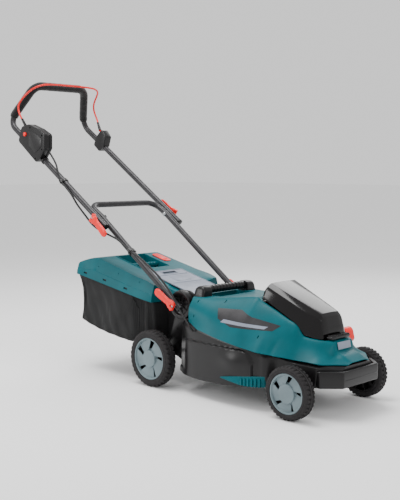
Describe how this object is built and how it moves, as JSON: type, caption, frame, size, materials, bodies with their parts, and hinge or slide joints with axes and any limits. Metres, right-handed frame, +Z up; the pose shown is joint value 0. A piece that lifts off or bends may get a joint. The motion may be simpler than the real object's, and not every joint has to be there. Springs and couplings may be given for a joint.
{
  "type": "push lawn mower",
  "caption": "Cordless walk-behind lawn mower with a teal cover on a black deck, smoked battery lid, rear fabric grass box, two-stage folding tube handle with cam levers and grey wheel caps.",
  "frame": {"origin": "on the ground, below the middle of the overall length and width", "axes": "+X forward, +Y to the operator's left, +Z up"},
  "size_m": [1.4298, 0.3976, 1.0005],
  "materials": {
    "deck_black": "moulded satin black",
    "cover_teal": "moulded satin teal",
    "smoked_lid": "polished smoked plastic",
    "wheel_grey": "moulded grey",
    "flap_grey": "moulded pale grey",
    "control_red": "moulded red",
    "tyre_rubber": "dark grey tread",
    "grip_foam": "closed-cell foam",
    "bag_fabric": "woven black fabric",
    "tube_paint": "satin charcoal powder coat",
    "bail_paint": "red plastic coat",
    "bright_steel": "zinc plated",
    "blade_steel": "dark hardened steel",
    "cable_sheath": "black rubber sheath"
  },
  "bodies": {
    "mower_body": {"deck_housing": "deck_black", "deck_cover": "cover_teal", "front_bumper": "deck_black", "carry_handle": "deck_black", "handle_bracket_right": "deck_black", "handle_bracket_left": "deck_black", "battery_tray": "deck_black", "motor_housing": "deck_black", "motor_controller": "deck_black", "grass_comb_right": "cover_teal", "grass_comb_left": "cover_teal", "flap_rod": "bright_steel", "cable_lower_bend": "cable_sheath"},
    "blade_spindle": {"motor_rotor": "bright_steel", "blade_fan": "deck_black", "blade": "blade_steel", "blade_bolt": "bright_steel"},
    "battery_lid_body": {"battery_lid": "smoked_lid"},
    "lid_latch_body": {"lid_latch": "deck_black"},
    "safety_key_body": {"safety_key": "control_red"},
    "battery_pack_right_body": {"battery_pack_right": "deck_black"},
    "battery_pack_left_body": {"battery_pack_left": "deck_black"},
    "discharge_flap_body": {"discharge_flap": "flap_grey"},
    "front_crank": {"front_axle": "bright_steel", "height_lever": "control_red"},
    "rear_crank": {"rear_axle": "bright_steel"},
    "height_link_body": {"height_link": "bright_steel"},
    "wheel_front_right_body": {"tyre_front_right": "tyre_rubber", "wheel_front_right": "wheel_grey"},
    "wheel_front_left_body": {"tyre_front_left": "tyre_rubber", "wheel_front_left": "wheel_grey"},
    "wheel_rear_right_body": {"tyre_rear_right": "tyre_rubber", "wheel_rear_right": "wheel_grey"},
    "wheel_rear_left_body": {"tyre_rear_left": "tyre_rubber", "wheel_rear_left": "wheel_grey"},
    "grass_box": {"grass_box_lid": "cover_teal", "grass_bag": "bag_fabric", "bag_frame": "bright_steel"},
    "level_indicator_body": {"level_indicator": "control_red"},
    "lower_frame": {"lower_handle": "tube_paint", "lower_bolt_right": "bright_steel", "lower_bolt_left": "bright_steel", "cable_lower": "cable_sheath", "cable_upper_bend": "cable_sheath", "cable_clip_lower": "deck_black"},
    "upper_frame": {"upper_handle": "tube_paint", "foam_grip": "grip_foam", "upper_bolt_right": "bright_steel", "upper_bolt_left": "bright_steel", "switch_box_outer": "deck_black", "switch_box_inner": "deck_black", "bail_bracket": "deck_black", "cable_upper": "cable_sheath", "cable_clip_upper": "deck_black"},
    "bail_body": {"bail": "bail_paint"},
    "lock_button_body": {"lock_button": "control_red"},
    "lower_lever_right_body": {"lower_lever_right": "control_red"},
    "lower_lever_left_body": {"lower_lever_left": "control_red"},
    "upper_lever_right_body": {"upper_lever_right": "control_red"},
    "upper_lever_left_body": {"upper_lever_left": "control_red"}
  },
  "joints": [
    {"name": "blade_spin", "type": "hinge", "parent": "mower_body", "child": "blade_spindle", "pos_m": [0.3544, 0, 0.074], "axis": [0, 0, 1], "continuous": true},
    {"name": "battery_lid_hinge", "type": "hinge", "parent": "mower_body", "child": "battery_lid_body", "pos_m": [0.4229, 0, 0.3125], "axis": [0, -1, 0], "range_deg": [0, 95]},
    {"name": "lid_latch_slide", "type": "slide", "parent": "mower_body", "child": "lid_latch_body", "axis": [1, 0, 0], "range_m": [0, 0.003], "stiffness_N_per_m": 600},
    {"name": "safety_key_pull", "type": "slide", "parent": "mower_body", "child": "safety_key_body", "axis": [0, 0, 1], "range_m": [0, 0.008]},
    {"name": "battery_pack_right_pull", "type": "slide", "parent": "mower_body", "child": "battery_pack_right_body", "axis": [0.4214, 0, 0.9069], "range_m": [0, 0.005]},
    {"name": "battery_pack_left_pull", "type": "slide", "parent": "mower_body", "child": "battery_pack_left_body", "axis": [0.4214, 0, 0.9069], "range_m": [0, 0.005]},
    {"name": "discharge_flap_hinge", "type": "hinge", "parent": "mower_body", "child": "discharge_flap_body", "pos_m": [0.1449, 0, 0.2865], "axis": [0, 1, 0], "range_deg": [0, 75], "stiffness_Nm_per_rad": 0.15, "springref_deg": -34.38},
    {"name": "height_adjust", "type": "hinge", "parent": "mower_body", "child": "front_crank", "pos_m": [0.63198, 0, 0.09814], "axis": [0, 1, 0], "range_deg": [0, 50]},
    {"name": "rear_crank_turn", "type": "hinge", "parent": "mower_body", "child": "rear_crank", "pos_m": [0.08198, 0, 0.11214], "axis": [0, 1, 0], "range_deg": [0, 50]},
    {"name": "height_link_pin", "type": "hinge", "parent": "front_crank", "child": "height_link_body", "pos_m": [0.61966, 0.103, 0.13197], "axis": [0, 1, 0], "range_deg": [-50, 0]},
    {"name": "wheel_front_right_roll", "type": "hinge", "parent": "front_crank", "child": "wheel_front_right_body", "pos_m": [0.6044, -0.1788, 0.075], "axis": [0, 1, 0], "continuous": true},
    {"name": "wheel_front_left_roll", "type": "hinge", "parent": "front_crank", "child": "wheel_front_left_body", "pos_m": [0.6044, 0.1788, 0.075], "axis": [0, 1, 0], "continuous": true},
    {"name": "wheel_rear_right_roll", "type": "hinge", "parent": "rear_crank", "child": "wheel_rear_right_body", "pos_m": [0.0544, -0.1755, 0.089], "axis": [0, 1, 0], "continuous": true},
    {"name": "wheel_rear_left_roll", "type": "hinge", "parent": "rear_crank", "child": "wheel_rear_left_body", "pos_m": [0.0544, 0.1755, 0.089], "axis": [0, 1, 0], "continuous": true},
    {"name": "grass_box_pull", "type": "slide", "parent": "mower_body", "child": "grass_box", "axis": [-1, 0, 0], "range_m": [0, 0.3]},
    {"name": "level_indicator_flap", "type": "hinge", "parent": "grass_box", "child": "level_indicator_body", "pos_m": [-0.1591, 0.102, 0.3623], "axis": [0, 1, 0], "range_deg": [0, 25]},
    {"name": "lower_fold", "type": "hinge", "parent": "mower_body", "child": "lower_frame", "pos_m": [0.1364, 0, 0.262], "axis": [0, 1, 0], "range_deg": [0, 100], "deforming": ["cable_lower_bend"]},
    {"name": "upper_fold", "type": "hinge", "parent": "lower_frame", "child": "upper_frame", "pos_m": [-0.2186, 0, 0.522], "axis": [0, -1, 0], "range_deg": [-140, 70], "deforming": ["cable_upper_bend"]},
    {"name": "bail_squeeze", "type": "hinge", "parent": "upper_frame", "child": "bail_body", "pos_m": [-0.5986, 0, 0.808], "axis": [0, -1, 0], "range_deg": [0, 8], "stiffness_Nm_per_rad": 1.5, "springref_deg": -8.59},
    {"name": "lock_button_press", "type": "slide", "parent": "upper_frame", "child": "lock_button_body", "axis": [0, 1, 0], "range_m": [0, 0.004], "stiffness_N_per_m": 300},
    {"name": "lower_lever_right_clamp", "type": "hinge", "parent": "lower_frame", "child": "lower_lever_right_body", "pos_m": [0.1364, -0.16825, 0.262], "axis": [0.4848, 0, 0.8746], "range_deg": [0, 90]},
    {"name": "upper_lever_right_clamp", "type": "hinge", "parent": "upper_frame", "child": "upper_lever_right_body", "pos_m": [-0.2186, -0.19125, 0.522], "axis": [-0.7431, 0, -0.6691], "range_deg": [0, 90]},
    {"name": "lower_lever_left_clamp", "type": "hinge", "parent": "lower_frame", "child": "lower_lever_left_body", "pos_m": [0.1364, 0.16825, 0.262], "axis": [-0.4848, 0, -0.8746], "range_deg": [0, 90]},
    {"name": "upper_lever_left_clamp", "type": "hinge", "parent": "upper_frame", "child": "upper_lever_left_body", "pos_m": [-0.2186, 0.19125, 0.522], "axis": [-0.5, 0, -0.866], "range_deg": [0, 90]}
  ],
  "couplings": [
    {"joint": "rear_crank_turn", "follows": "height_adjust", "ratio": 1},
    {"joint": "height_link_pin", "follows": "height_adjust", "ratio": -1}
  ]
}
